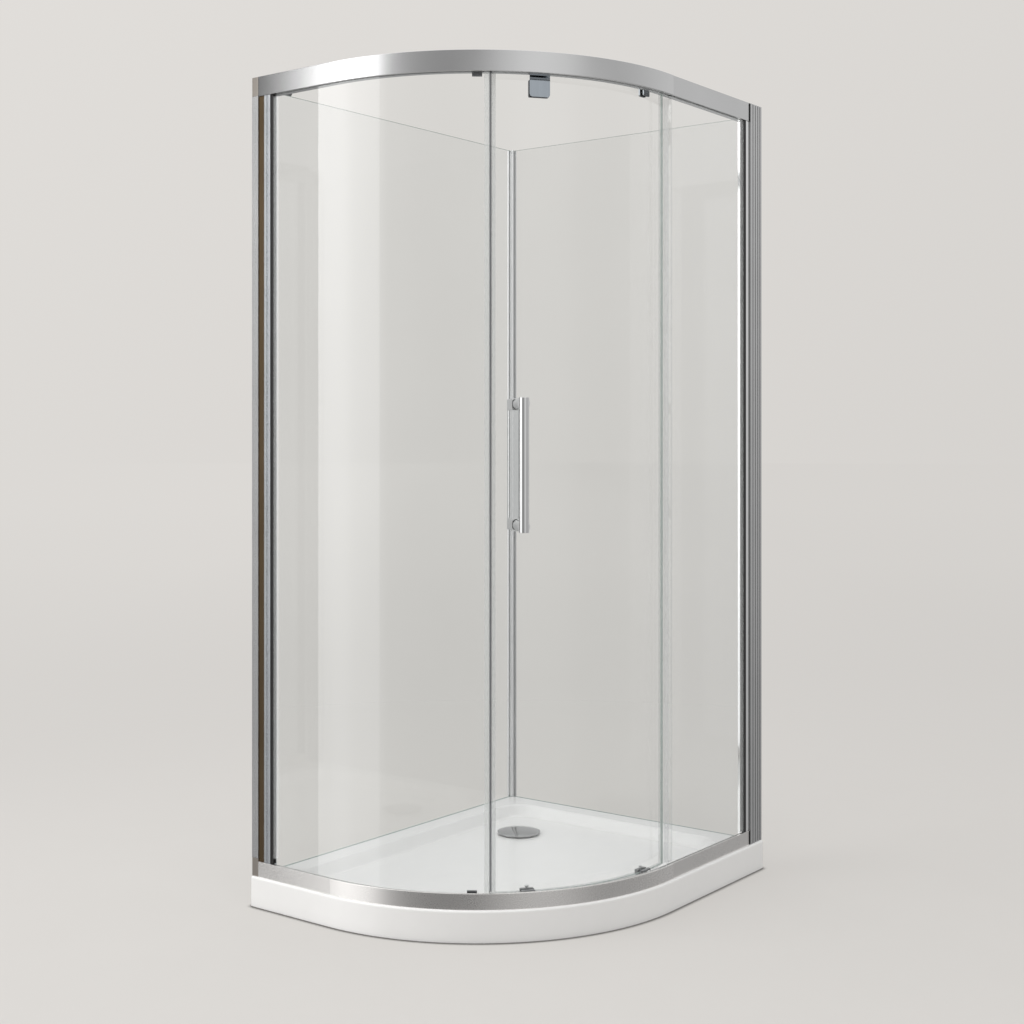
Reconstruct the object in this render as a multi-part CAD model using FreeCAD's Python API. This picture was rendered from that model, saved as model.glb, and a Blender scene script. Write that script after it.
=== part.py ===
import FreeCAD, Part
import math
import os

os.makedirs("parts", exist_ok=True)

# ---------------------------------------------------------------- driving dimensions (mm)
TRAY_W = 800.0          # along X, between the left wall and the outer right side
TRAY_D = 1000.0         # along Y, between the outer front and the back wall
TRAY_R = 550.0          # plan radius of the tray's curved corner
TRAY_H = 70.0           # floor to the top of the tray's rim
BASIN_Z = 46.0          # basin floor height
FRAME_H = 1850.0        # frame height above the tray
GLASS = 6.0             # glass thickness
RAIL_OUT = 6.0          # rail face, in from the tray's outer edge
TOP_RAIL_H = 46.0
BOT_RAIL_H = 35.0
FIX_O = 12.0            # outer face of the fixed glass, in from the tray's edge
DOOR_O = 46.0           # outer face of the door glass, in from the tray's edge
WHEEL_R = 12.0          # top wheel
GUIDE_R = 7.0           # bottom guide wheel
WHEEL_O = 22.0          # mid-plane of the top wheels
GUIDE_O = 32.0          # mid-plane of the bottom guide wheels
LEAD_A = -37.2          # plan angles of the hangers and guides (degrees, about the arc centre)
TRAIL_A = -3.8
GLEAD_A = -40.2
GTRAIL_A = -4.3
HANDLE_A = -42.5
HANDLE_Z = 1026.5       # handle centre height
HANDLE_SPAN = 264.0     # between the two handle fixings
HANDLE_REACH = 61.0     # bar axis to the glass, both sides
DOOR_A0, DOOR_A1 = -49.2, 5.0      # door glass from leading to trailing edge
FIX_A1 = -50.05         # free edge of the fixed curved glass
FIX_Y0 = 69.8           # free edge of the fixed straight glass
SEAM_Y = 73.0           # joint between curved and straight rails
WASTE = (-185.0, 250.0)
BACK_TOP = 1896.0       # top of the two back panels
WALL_HOLES = (300.0, 700.0, 1300.0, 1700.0)      # heights of the wall screws

CX, CY = TRAY_W / 2 - TRAY_R, -TRAY_D / 2 + TRAY_R      # arc centre in plan
X0, X1 = -TRAY_W / 2, TRAY_W / 2
Y0, Y1 = -TRAY_D / 2, TRAY_D / 2
ZB = TRAY_H
ZT = TRAY_H + FRAME_H
Z_SOFFIT = ZT - TOP_RAIL_H          # 1874
Z_RAILTOP = ZB + BOT_RAIL_H         # 105
Z_TRACK = Z_SOFFIT + 13.5           # rolling face of the top track
Z_GTRACK = ZB + 14.0                # rolling face of the bottom track, lower than the rail's face
Z_WHEEL = Z_TRACK + 0.3 + WHEEL_R
Z_GUIDE = Z_GTRACK + 0.3 + GUIDE_R
UP = FreeCAD.Vector(0, 0, 1)


def V(x, y, z=0.0):
    return FreeCAD.Vector(x, y, z)


def at(o, a, z=0.0):
    """point at plan angle a (degrees) on the arc, o in from the tray's edge"""
    t = math.radians(a)
    return V(CX + (TRAY_R - o) * math.cos(t), CY + (TRAY_R - o) * math.sin(t), z)


def radial(a):
    t = math.radians(a)
    return V(math.cos(t), math.sin(t), 0)


def tangent(a):
    t = math.radians(a)
    return V(-math.sin(t), math.cos(t), 0)


def path(o, start, end):
    """edges along the front line at offset o: straight left ('L', x), arc ('A', degrees), straight right ('R', y)"""
    order = {"L": 0, "A": 1, "R": 2}
    edges = []
    s, e = order[start[0]], order[end[0]]
    if s == 0:
        xe = end[1] if e == 0 else CX
        edges.append(Part.LineSegment(V(start[1], Y0 + o), V(xe, Y0 + o)).toShape())
    if s <= 1 <= e:
        a0 = start[1] if s == 1 else -90.0
        a1 = end[1] if e == 1 else 0.0
        c = Part.Circle(V(CX, CY), UP, TRAY_R - o)
        edges.append(Part.ArcOfCircle(c, math.radians(a0), math.radians(a1)).toShape())
    if e == 2:
        ys = start[1] if s == 2 else CY
        edges.append(Part.LineSegment(V(X1 - o, ys), V(X1 - o, end[1])).toShape())
    return edges


def ends(edges):
    return edges[0].valueAt(edges[0].FirstParameter), edges[-1].valueAt(edges[-1].LastParameter)


def band(o1, o2, z1, z2, start, end):
    """solid between offsets o1 < o2 and heights z1 < z2 along the front line"""
    out, inn = path(o1, start, end), path(o2, start, end)
    a, b = ends(out)
    c, d = ends(inn)
    edges = out + [Part.LineSegment(b, d).toShape()] + inn + [Part.LineSegment(c, a).toShape()]
    wire = Part.Wire(Part.__sortEdges__(edges))
    solid = Part.Face(wire).extrude(V(0, 0, z2 - z1))
    solid.translate(V(0, 0, z1))
    return solid


def box(x1, x2, y1, y2, z1, z2):
    return Part.makeBox(x2 - x1, y2 - y1, z2 - z1, V(x1, y1, z1))


def cyl(r, p, d, h):
    return Part.makeCylinder(r, h, p, d)


def join(*shapes):
    s = shapes[0].multiFuse(list(shapes[1:])) if len(shapes) > 1 else shapes[0]
    return s.removeSplitter()


def place(shape, a, o, z=0.0):
    """moves a shape drawn at the origin (X outwards, Y along the rail, Z up) to angle a and offset o"""
    s = shape.copy()
    s.rotate(V(0, 0), UP, a)
    s.translate(at(o, a, z))
    return s


def fillet(shape, r, pick):
    """rounds the edges that pick() chooses"""
    es = [e for e in shape.Edges if pick(e)]
    return shape.makeFillet(r, es) if es else shape


def level(z, tol=0.01):
    return lambda e: abs(e.BoundBox.ZMin - z) < tol and abs(e.BoundBox.ZMax - z) < tol


def upright(e):
    return e.BoundBox.XLength < 0.01 and e.BoundBox.YLength < 0.01 and e.BoundBox.ZLength > 0.5


def group(shapes):
    return Part.makeCompound(shapes)


N = {}          # node name -> shape

# ---------------------------------------------------------------- tray
def quadrant_face(inl, inb, o, z, rc):
    """quadrant outline: inset inl from the left wall, inb from the back wall, o along the front, corner radius rc"""
    r = TRAY_R - o
    xl, yb, xr, yf = X0 + inl, Y1 - inb, X1 - o, Y0 + o
    k = rc
    q = math.cos(math.pi / 4)
    e = []

    def seg(p, r2):
        e.append(Part.LineSegment(V(p[0], p[1], z), V(r2[0], r2[1], z)).toShape())

    def arc(c, rad, a0, a1):
        m = (a0 + a1) / 2
        pts = [V(c[0] + rad * math.cos(math.radians(t)), c[1] + rad * math.sin(math.radians(t)), z) for t in (a0, m, a1)]
        e.append(Part.Arc(*pts).toShape())

    seg((xl + k, yf), (CX, yf))
    arc((CX, CY), r, -90, 0)
    seg((xr, CY), (xr, yb - k))
    if k > 0:
        arc((xr - k, yb - k), k, 0, 90)
    seg((xr - k, yb), (xl + k, yb))
    if k > 0:
        arc((xl + k, yb - k), k, 90, 180)
    seg((xl, yb - k), (xl, yf + k))
    if k > 0:
        arc((xl + k, yf + k), k, 180, 270)
    return Part.Wire(e)


def prism(wire, h):
    return Part.Face(wire).extrude(V(0, 0, h))


tray = prism(quadrant_face(0, 0, 0, 0, 6.0), TRAY_H)
tray = fillet(tray, 5.0, level(TRAY_H))
tray = fillet(tray, 1.5, level(0.0))
# basin: a sloping side between the rim and the floor, rounded at both edges
basin_top = quadrant_face(62, 62, 78, TRAY_H, 70)
basin_bot = quadrant_face(90, 90, 106, BASIN_Z, 46)
basin = Part.makeLoft([basin_bot, basin_top], True, True)
tray = tray.cut(basin)
tray = fillet(tray, 16.0, lambda e: level(BASIN_Z)(e))
tray = fillet(tray, 12.0, lambda e: level(TRAY_H)(e) and e.BoundBox.XMin > X0 + 55 and e.BoundBox.XMax < X1 - 60 and e.BoundBox.YMin > Y0 + 60 and e.BoundBox.YMax < Y1 - 55)
wx, wy = WASTE
tray = tray.cut(cyl(40.0, V(wx, wy, -1), UP, 80))
tray = tray.cut(cyl(45.0, V(wx, wy, BASIN_Z - 3.0), UP, 30))
tray = tray.cut(cyl(75.0, V(wx, wy, -1), UP, 29))          # pocket under the waste: z 0 to 28
N["shower_tray"] = tray

# ---------------------------------------------------------------- waste
def ring(r1, r2, z1, z2):
    return cyl(r2, V(wx, wy, z1), UP, z2 - z1).cut(cyl(r1, V(wx, wy, z1 - 1), UP, z2 - z1 + 2))


flange = join(ring(30.0, 44.6, BASIN_Z - 3.0, BASIN_Z - 0.2), ring(35.5, 38.6, 20.0, BASIN_Z - 3.0), ring(30.0, 38.6, BASIN_Z - 6.0, BASIN_Z - 3.0))
N["waste_flange"] = flange
N["waste_seal"] = ring(40.5, 58.0, 25.0, 28.0)
body = join(ring(38.7, 58.0, 22.0, 25.0), ring(38.7, 42.0, 8.0, 22.0), ring(17.0, 42.0, 8.0, 11.0), ring(17.0, 20.0, 1.0, 8.0))
N["waste_body"] = body
# lift-out cover: a shallow dome on a stem, and the cup that hangs from it
prof = [V(0, 0, BASIN_Z + 12.4), V(30, 0, BASIN_Z + 11.2), V(56, 0, BASIN_Z + 6.6)]
top_arc = Part.Arc(*prof).toShape()
under = [V(54, 0, BASIN_Z + 4.0), V(29, 0, BASIN_Z + 8.4), V(8, 0, BASIN_Z + 9.6)]
und_arc = Part.Arc(*under).toShape()
e = [top_arc,
     Part.LineSegment(V(56, 0, BASIN_Z + 6.6), V(56, 0, BASIN_Z + 4.4)).toShape(),
     Part.LineSegment(V(56, 0, BASIN_Z + 4.4), V(55.6, 0, BASIN_Z + 4.0)).toShape(),
     Part.LineSegment(V(55.6, 0, BASIN_Z + 4.0), V(54, 0, BASIN_Z + 4.0)).toShape(),
     und_arc,
     Part.LineSegment(V(8, 0, BASIN_Z + 9.6), V(8, 0, BASIN_Z - 2.0)).toShape(),
     Part.LineSegment(V(8, 0, BASIN_Z - 2.0), V(0, 0, BASIN_Z - 2.0)).toShape(),
     Part.LineSegment(V(0, 0, BASIN_Z - 2.0), V(0, 0, BASIN_Z + 12.4)).toShape()]
dome = Part.Face(Part.Wire(Part.__sortEdges__(e))).revolve(V(0, 0, 0), UP, 360)
dome.translate(V(wx, wy, 0))
N["waste_cover"] = dome
cup = join(ring(26.0, 29.4, 16.0, BASIN_Z - 3.4), cyl(29.4, V(wx, wy, 14.0), UP, 2.0))
spider = []
for k in range(3):
    b = Part.makeBox(27.0, 4.0, 3.0, V(2.0, -2.0, BASIN_Z - 6.4))
    b.rotate(V(0, 0), UP, 120 * k + 30)
    b.translate(V(wx, wy, 0))
    spider.append(b)
hub = cyl(9.5, V(wx, wy, BASIN_Z - 8.4), UP, 6.4)
cup = join(cup, hub, *spider)
slots = []
for k in range(12):
    b = Part.makeBox(12.0, 3.0, 12.0, V(22.0, -1.5, 19.0))
    b.rotate(V(0, 0), UP, 30 * k + 15)
    b.translate(V(wx, wy, 0))
    slots.append(b)
cup = cup.cut(group(slots))
N["waste_insert"] = cup

# ---------------------------------------------------------------- rails
SL, SM = ("L", -379.2), ("R", SEAM_Y)
R0, RE = ("R", SEAM_Y), ("R", 438.0)
STEP = 1.6                         # the straight rail sits a little behind the curved one


def top_rail(start, end, d):
    parts = [
        band(RAIL_OUT + d, 8.5, Z_SOFFIT, ZT, start, end),                      # face
        band(RAIL_OUT + d, 50.0, ZT - 2.5, ZT, start, end),                     # hood
        band(RAIL_OUT + d, 11.0, Z_SOFFIT, Z_SOFFIT + 2.5, start, end),         # lip under the glass groove
        band(9.5, 11.0, Z_SOFFIT, Z_TRACK - 1.0, start, end),
        band(19.0, 20.5, Z_SOFFIT, Z_TRACK - 1.0, start, end),
        band(19.0, 32.5, Z_SOFFIT, Z_SOFFIT + 2.5, start, end),                 # inner soffit
        band(8.0, 32.5, Z_TRACK - 2.5, Z_TRACK, start, end),                    # track
        band(30.0, 32.5, Z_SOFFIT, Z_TRACK, start, end),
    ]
    return join(*parts)


def bottom_rail(start, end, d):
    parts = [
        band(RAIL_OUT + d, 8.5, ZB, Z_RAILTOP, start, end),
        band(RAIL_OUT + d, 42.0, ZB, ZB + 2.5, start, end),
        band(RAIL_OUT + d, 11.0, Z_RAILTOP - 3.5, Z_RAILTOP, start, end),
        band(9.5, 11.0, 82.0, Z_RAILTOP - 1.0, start, end),
        band(8.0, 20.5, 82.0, Z_GTRACK, start, end),
        band(19.0, 20.5, 82.0, Z_RAILTOP - 2.5, start, end),
        band(19.0, 42.0, Z_GTRACK - 2.5, Z_GTRACK, start, end),
        band(39.5, 42.0, ZB, Z_GTRACK, start, end),
    ]
    return join(*parts)


def outer_edges(o, zs):
    """edges on the rail's outer face at the given heights, for rounding"""
    def pick(e):
        b = e.BoundBox
        if not any(abs(b.ZMin - z) < 0.01 and abs(b.ZMax - z) < 0.01 for z in zs):
            return False
        p = e.valueAt((e.FirstParameter + e.LastParameter) / 2)
        if p.x <= CX:
            d = p.y - Y0
        elif p.y >= CY:
            d = X1 - p.x
        else:
            d = TRAY_R - math.hypot(p.x - CX, p.y - CY)
        return abs(d - o) < 0.05 and e.Length > 20
    return pick


N["top_rail_curved"] = fillet(top_rail(SL, SM, 0.0), 1.0, outer_edges(RAIL_OUT, (Z_SOFFIT, ZT)))
N["top_rail_straight"] = fillet(top_rail(R0, RE, STEP), 0.6, outer_edges(RAIL_OUT + STEP, (Z_SOFFIT, ZT)))
N["bottom_rail_curved"] = fillet(bottom_rail(SL, SM, 0.0), 1.0, outer_edges(RAIL_OUT, (Z_RAILTOP,)))
N["bottom_rail_straight"] = fillet(bottom_rail(R0, RE, STEP), 0.6, outer_edges(RAIL_OUT + STEP, (Z_RAILTOP,)))
N["rail_joint_bars"] = group([
    band(21.0, 29.5, Z_SOFFIT + 2.8, Z_TRACK - 2.8, ("R", SEAM_Y - 22), ("R", SEAM_Y + 45)),
    band(21.5, 35.0, ZB + 3.0, ZB + 11.0, ("R", SEAM_Y - 22), ("R", SEAM_Y + 45)),
])
N["post_end_caps"] = group([
    fillet(box(X0, -379.5, -494.0, -466.0, 1876.0, ZT), 1.5, lambda e: upright(e) or level(ZT)(e)),
    fillet(box(X0, -379.5, -494.0, -466.0, ZB, 112.0), 1.5, upright),
])

# ---------------------------------------------------------------- left post
ZP0, ZP1 = Z_RAILTOP + 0.3, Z_SOFFIT - 0.3
lwp = join(
    box(X0, -397.8, -494.0, -466.0, 112.3, 1875.7),
    box(X0, -379.5, -494.0, -492.0, 112.3, 1875.7),
    box(X0, -372.0, -468.0, -466.0, 112.3, 1873.7),
    box(-396.2, -394.3, -468.0, -456.0, 112.3, 1873.7),
    box(-387.7, -385.8, -468.0, -456.0, 112.3, 1873.7),
)
for z in WALL_HOLES:
    lwp = lwp.cut(cyl(2.6, V(-405, -480, z), V(1, 0, 0), 12))
for z in (400.0, 1000.0, 1600.0):
    lwp = lwp.cut(cyl(1.75, V(-376, -460, z), V(0, -1, 0), 12))
N["left_wall_profile"] = lwp
lap = box(-386.0, -361.2, -491.8, -468.2, ZP0, ZP1).cut(box(-384.0, -363.2, -489.8, -470.2, ZP0 - 1, ZP1 + 1))
lap = join(lap, box(-386.0, -361.2, -478.8, -468.2, Z_GTRACK + 0.3, ZP0 + 0.2)).cut(box(-384.0, -363.2, -476.8, -470.2, 60, 2000))
lap = lap.cut(box(-390.0, -379.0, -500.0, -460.0, 60.0, 112.4))
for z in (400.0, 1000.0, 1600.0):
    lap = lap.cut(cyl(1.75, V(-376, -460, z), V(0, -1, 0), 12))
N["left_adjusting_profile"] = lap
lps = join(
    box(-361.0, -359.0, -493.4, -472.0, ZP0, ZP1),
    box(-361.0, -341.0, -493.4, -488.1, ZP0, ZP1).cut(box(-353.2, -350.8, -494.5, -490.4, ZP0 - 1, ZP1 + 1)),
    box(-361.0, -341.0, -481.9, -472.0, ZP0, ZP1).cut(box(-357.0, -343.0, -479.9, -474.0, ZP0 - 1, ZP1 + 1)),
    box(-361.0, -341.0, -478.8, -472.0, Z_GTRACK + 0.3, ZP0 + 0.2),
)
lps = fillet(lps, 0.8, lambda e: upright(e) and e.BoundBox.YMin < -493.0)
N["left_panel_stile"] = lps
N["left_gasket"] = join(box(-341.0, -334.2, -490.8, -488.05, ZP0, ZP1), box(-341.0, -334.2, -481.95, -480.0, ZP0, ZP1))
edge_strip = box(-334.0, -317.0, -489.6, -488.05, 119.0, 1868.0)
edge_strip = fillet(edge_strip, 4.0, lambda e: abs(e.BoundBox.XMin + 317.0) < 0.01 and abs(e.BoundBox.XMax + 317.0) < 0.01 and e.BoundBox.YLength > 1 and e.BoundBox.ZLength < 0.01)
N["left_edge_strip"] = edge_strip

# ---------------------------------------------------------------- right post
rwp = join(
    box(366.0, 394.0, 497.8, Y1, ZB + 0.3, ZT - 0.5),
    box(391.0, 394.0, 442.3, Y1, ZB + 0.3, ZT - 0.5),
    box(366.0, 368.0, 434.0, Y1, Z_RAILTOP + 0.3, Z_SOFFIT - 0.3),
    box(356.0, 368.0, 486.0, 487.7, Z_RAILTOP + 0.3, Z_SOFFIT - 0.3),
    box(356.0, 368.0, 494.3, 495.9, Z_RAILTOP + 0.3, Z_SOFFIT - 0.3),
)
flutes = []
for y in (455.0, 467.5, 480.0, 491.0):
    flutes.append(box(392.6, 395.0, y - 1.8, y + 1.8, 0, 2000))
rwp = rwp.cut(group(flutes))
for z in WALL_HOLES:
    rwp = rwp.cut(cyl(2.6, V(380, 505, z), V(0, -1, 0), 12))
for z in (400.0, 1000.0, 1600.0):
    rwp = rwp.cut(cyl(1.75, V(360, 448, z), V(1, 0, 0), 12))
N["right_wall_profile"] = rwp
rap = box(368.2, 390.8, 424.2, 486.0, ZP0, ZP1).cut(box(370.2, 388.8, 433.0, 487.0, ZP0 - 1, ZP1 + 1)).cut(box(381.9, 388.1, 423.0, 431.0, ZP0 - 1, ZP1 + 1))
rap = join(rap, box(368.2, 379.0, 424.2, 438.0, Z_GTRACK + 0.3, ZP0 + 0.2))
for z in (400.0, 1000.0, 1600.0):
    rap = rap.cut(cyl(1.75, V(360, 448, z), V(1, 0, 0), 12))
N["right_adjusting_profile"] = rap
N["right_gaskets"] = group([
    box(388.05, 391.2, 414.0, 424.0, ZP0, ZP1),
    box(380.0, 381.95, 414.0, 424.0, ZP0, ZP1),
    box(368.0, 394.0, 438.3, 442.0, Z_SOFFIT + 0.3, ZT - 1.0).cut(box(369, 392, 430, 450, Z_SOFFIT + 3, ZT - 4)),
    box(371.0, 394.0, 438.3, 442.0, ZB + 1.0, Z_RAILTOP - 0.3).cut(box(372, 392, 430, 450, ZB + 3, Z_RAILTOP - 3)),
])
N["right_edge_strip"] = box(388.05, 389.6, 397.0, 413.6, 108.0, 1871.0)
screws = []
for z in (400.0, 1000.0, 1600.0):
    screws.append(join(cyl(1.7, V(-376, -466, z), V(0, -1, 0), 5.0), fillet(cyl(3.4, V(-376, -466, z), V(0, 1, 0), 2.2), 1.2, lambda e: abs(e.BoundBox.YMin + 463.8) < 0.01 and abs(e.BoundBox.YMax + 463.8) < 0.01)))
    screws.append(join(cyl(1.7, V(366, 448, z), V(1, 0, 0), 5.0), fillet(cyl(3.4, V(366, 448, z), V(-1, 0, 0), 2.2), 1.2, lambda e: abs(e.BoundBox.XMin - 363.8) < 0.01 and abs(e.BoundBox.XMax - 363.8) < 0.01)))
N["profile_screws"] = group(screws)

# ---------------------------------------------------------------- back panels
N["left_back_glass"] = box(-394.0, -388.0, -464.0, 486.0, 70.5, BACK_TOP)
N["right_back_glass"] = box(-386.0, 366.0 - 0.5, 488.0, 494.0, 70.5, BACK_TOP)
post = box(-399.0, -380.5, 480.5, 499.0, 70.3, BACK_TOP + 1.0)
post = post.cut(box(-394.2, -387.8, 470.0, 486.2, 0, 2000)).cut(box(-386.2, -370.0, 487.8, 494.2, 0, 2000))
post = post.cut(box(-385.2, -383.4, 479.0, 481.7, 0, 2000)).cut(box(-381.7, -379.0, 483.4, 485.2, 0, 2000))
N["corner_post"] = post
stay = join(cyl(5.5, V(-391.0, -463.8, BACK_TOP + 6.2), V(0, 1, 0), 86.0), box(-397.5, -384.5, -463.8, -452.0, BACK_TOP + 0.6, BACK_TOP + 11.8))
stay = fillet(stay, 2.0, lambda e: abs(e.BoundBox.YMin + 377.8) < 0.01 and abs(e.BoundBox.YMax + 377.8) < 0.01)
N["left_panel_stay"] = stay

# ---------------------------------------------------------------- fixed front glass
GZ0, GZ1 = 84.3, Z_TRACK - 3.0
N["fixed_curved_glass"] = band(FIX_O, FIX_O + GLASS, GZ0, GZ1, ("L", -358.8), ("A", FIX_A1))
N["fixed_straight_glass"] = band(FIX_O, FIX_O + GLASS, GZ0, GZ1, ("R", FIX_Y0), ("R", 430.8))
gk = []
for (s, e2) in ((("L", -340.0), ("A", FIX_A1 - 1.4)), (("R", 90.0), ("R", 413.0))):
    for (za, zb) in ((Z_SOFFIT + 0.2, Z_SOFFIT + 9.0), (86.0, Z_RAILTOP - 3.0)):
        gk.append(band(11.05, 11.95, za, zb, s, e2))
        gk.append(band(18.05, 18.95, za, zb, s, e2))
N["glazing_gaskets"] = group(gk)
N["rail_infill_strips"] = group([
    band(11.2, 18.8, Z_SOFFIT + 0.4, Z_SOFFIT + 6.0, ("A", FIX_A1 + 0.6), ("R", FIX_Y0 - 3.0)),
    band(11.2, 18.8, 96.0, Z_RAILTOP - 3.0, ("A", FIX_A1 + 0.6), ("R", FIX_Y0 - 3.0)),
])
ZS0, ZS1 = Z_RAILTOP + 0.4, Z_SOFFIT - 0.4
DZ0, DZ1 = Z_GTRACK + 9.5, 1890.0          # bottom and top of the door glass
# left strike: carrier over the fixed glass edge, a leg reaching in, and the magnet at its end
carrier = band(10.6, 19.4, ZS0, ZS1, ("A", FIX_A1 - 1.1), ("A", FIX_A1 + 0.24)).cut(band(FIX_O - 0.05, FIX_O + GLASS + 0.05, ZS0 - 1, ZS1 + 1, ("A", FIX_A1 - 2.0), ("A", FIX_A1 + 0.02)))
leg = join(*[band(o, 54.5, za, zb, ("A", FIX_A1 + 0.02), ("A", FIX_A1 + 0.2)) for o, za, zb in ((19.0, ZS0, ZS1), (21.0, Z_GTRACK + 0.5, ZS0 + 2), (33.5, ZS1 - 2, 1886.0))])
N["strike_seal"] = join(carrier, leg)
N["strike_magnet"] = band(43.5, 54.5, DZ0 + 1.0, 1885.0, ("A", FIX_A1 + 0.22), ("A", FIX_A1 + 0.43))
# slim seal behind the free edge of the straight glass
N["straight_glass_seal"] = join(
    box(X1 - 19.6, X1 - 18.05, FIX_Y0 + 2.0, FIX_Y0 + 17.0, ZS0, ZS1),
    box(X1 - 30.0, X1 - 18.05, FIX_Y0 + 0.6, FIX_Y0 + 2.2, ZS0, ZS1))


def clip(a, z1, z2):
    c = place(Part.makeBox(9.0, 22.0, z2 - z1, V(-9.0, -11.0, z1)), a, 18.3)
    return fillet(c, 2.0, upright)
N["fixed_panel_clips"] = group([clip(-52.8, Z_SOFFIT - 8.0, Z_SOFFIT - 0.1), clip(-54.0, Z_RAILTOP + 0.1 - 2.4, Z_RAILTOP + 1.8)])
N["track_stops"] = group([
    band(11.0, 31.0, Z_TRACK + 0.02, Z_TRACK + 16.0, ("A", -40.4), ("A", -38.6)),
    band(11.0, 31.0, Z_TRACK + 0.02, Z_TRACK + 16.0, ("R", 334.0), ("R", 350.0)),
])

# ---------------------------------------------------------------- door

def sector(o1, o2, z1, z2, a0, a1):
    """like band, but any angles, always on the arc"""
    c1 = Part.ArcOfCircle(Part.Circle(V(CX, CY), UP, TRAY_R - o1), math.radians(a0), math.radians(a1)).toShape()
    c2 = Part.ArcOfCircle(Part.Circle(V(CX, CY), UP, TRAY_R - o2), math.radians(a0), math.radians(a1)).toShape()
    l1 = Part.LineSegment(at(o1, a1), at(o2, a1)).toShape()
    l2 = Part.LineSegment(at(o2, a0), at(o1, a0)).toShape()
    s = Part.Face(Part.Wire(Part.__sortEdges__([c1, l1, c2, l2]))).extrude(V(0, 0, z2 - z1))
    s.translate(V(0, 0, z1))
    return s


def bore(a, z, r, o1, o2, side=0.0):
    """a radial cylinder from offset o2 out to offset o1 at angle a, shifted sideways by side"""
    p = at(o2, a, z) + tangent(a) * side
    return cyl(r, p, radial(a), o2 - o1)


def plate(a, o1, o2, w, z1, z2, r, corners="bottom"):
    """a slightly bent plate with rounded corners, w wide"""
    half = math.degrees(w / 2 / (TRAY_R - (o1 + o2) / 2))
    s = sector(o1, o2, z1, z2, a - half, a + half)
    def pick(e):
        b = e.BoundBox
        if b.ZLength > 0.01 or e.Length > (o2 - o1) * 1.05 or e.Length < (o2 - o1) * 0.95:
            return False
        return (abs(b.ZMin - z1) < 0.01) or (corners == "all" and abs(b.ZMin - z2) < 0.01)
    return fillet(s, r, pick)


door = sector(DOOR_O, DOOR_O + GLASS, DZ0, DZ1, DOOR_A0, DOOR_A1)
HB = [(LEAD_A, -13.0), (LEAD_A, 13.0), (TRAIL_A, 0.0)]
HZ = {LEAD_A: 1848.0, TRAIL_A: 1877.0}          # heights of the hanger bolts
for a, s in HB:
    door = door.cut(bore(a, HZ[a], 4.5, DOOR_O - 2, DOOR_O + GLASS + 2, s))
for z in (HANDLE_Z - HANDLE_SPAN / 2, HANDLE_Z + HANDLE_SPAN / 2):
    door = door.cut(bore(HANDLE_A, z, 6.0, DOOR_O - 2, DOOR_O + GLASS + 2))
N["door_glass"] = door
mc = sector(44.6, 53.4, DZ0, DZ1, DOOR_A0 - 0.12, DOOR_A0 + 0.95).cut(sector(DOOR_O - 0.05, DOOR_O + GLASS + 0.05, 0, 2000, DOOR_A0 - 0.02, DOOR_A0 + 2))
N["door_magnet_seal"] = mc
N["door_magnet"] = sector(43.5, 54.5, DZ0 + 4, DZ1 - 4, DOOR_A0 - 0.33, DOOR_A0 - 0.14)
ts = join(
    sector(44.6, 53.4, DZ0, DZ1, DOOR_A1 - 0.95, DOOR_A1 + 0.3).cut(sector(DOOR_O - 0.05, DOOR_O + GLASS + 0.05, 0, 2000, DOOR_A1 - 2, DOOR_A1 + 0.02)),
    sector(32.0, 45.0, DZ0, ZS1, DOOR_A1 + 0.12, DOOR_A1 + 0.3))
N["door_trailing_seal"] = ts
bs = join(
    sector(45.0, 53.0, DZ0 - 1.6, DZ0 - 0.05, DOOR_A0 + 1.0, DOOR_A1 - 1.0),
    sector(45.0, 45.9, DZ0 - 1.6, DZ0 + 3.0, DOOR_A0 + 1.0, DOOR_A1 - 1.0),
    sector(52.1, 53.0, DZ0 - 1.6, DZ0 + 3.0, DOOR_A0 + 1.0, DOOR_A1 - 1.0),
    sector(53.0, 54.2, DZ0 - 8.0, DZ0 + 2.0, DOOR_A0 + 1.0, DOOR_A1 - 1.0))
for a in (GLEAD_A, GTRAIL_A):
    half = math.degrees(16.4 / (TRAY_R - 50))
    bs = bs.cut(sector(40, 70, 60, 130, a - half, a + half))
N["door_bottom_seal"] = bs

# hangers
lead = plate(LEAD_A, 42.0, 45.0, 46.0, 1830.0, 1908.0, 6.0)
trail = plate(TRAIL_A, 42.0, 45.0, 22.0, 1866.0, 1908.0, 3.0)
lead = lead.cut(bore(LEAD_A, Z_WHEEL, 3.0, 40, 46))
trail = trail.cut(bore(TRAIL_A, Z_WHEEL, 3.0, 40, 46))
for a, s in HB:
    tool = bore(a, HZ[a], 3.0, 43.5, 46, s)
    if a == LEAD_A:
        lead = lead.cut(tool)
    else:
        trail = trail.cut(tool)
N["lead_hanger_plate"] = lead
N["trail_hanger_plate"] = trail
clamps = []
for a, w, z1, z2 in ((LEAD_A, 46.0, 1830.0, 1868.0), (TRAIL_A, 22.0, 1866.0, 1888.0)):
    c = plate(a, 53.0, 57.0, w, z1, z2, 3.0, "all")
    for a2, s in HB:
        if a2 == a:
            c = c.cut(bore(a, HZ[a], 3.1, 50, 60, s))
    clamps.append(c)
N["hanger_clamps"] = group(clamps)
pads = []
for a, w, z1, z2 in ((LEAD_A, 44.0, 1832.0, 1867.0), (TRAIL_A, 20.0, 1867.0, 1887.0)):
    for o1, o2 in ((45.02, 45.98), (52.02, 52.98)):
        c = sector(o1, o2, z1, z2, a - math.degrees(w / 2 / 500), a + math.degrees(w / 2 / 500))
        for a2, s in HB:
            if a2 == a:
                c = c.cut(bore(a, HZ[a], 4.5, 40, 60, s))
        pads.append(c)
bolts = []
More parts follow.
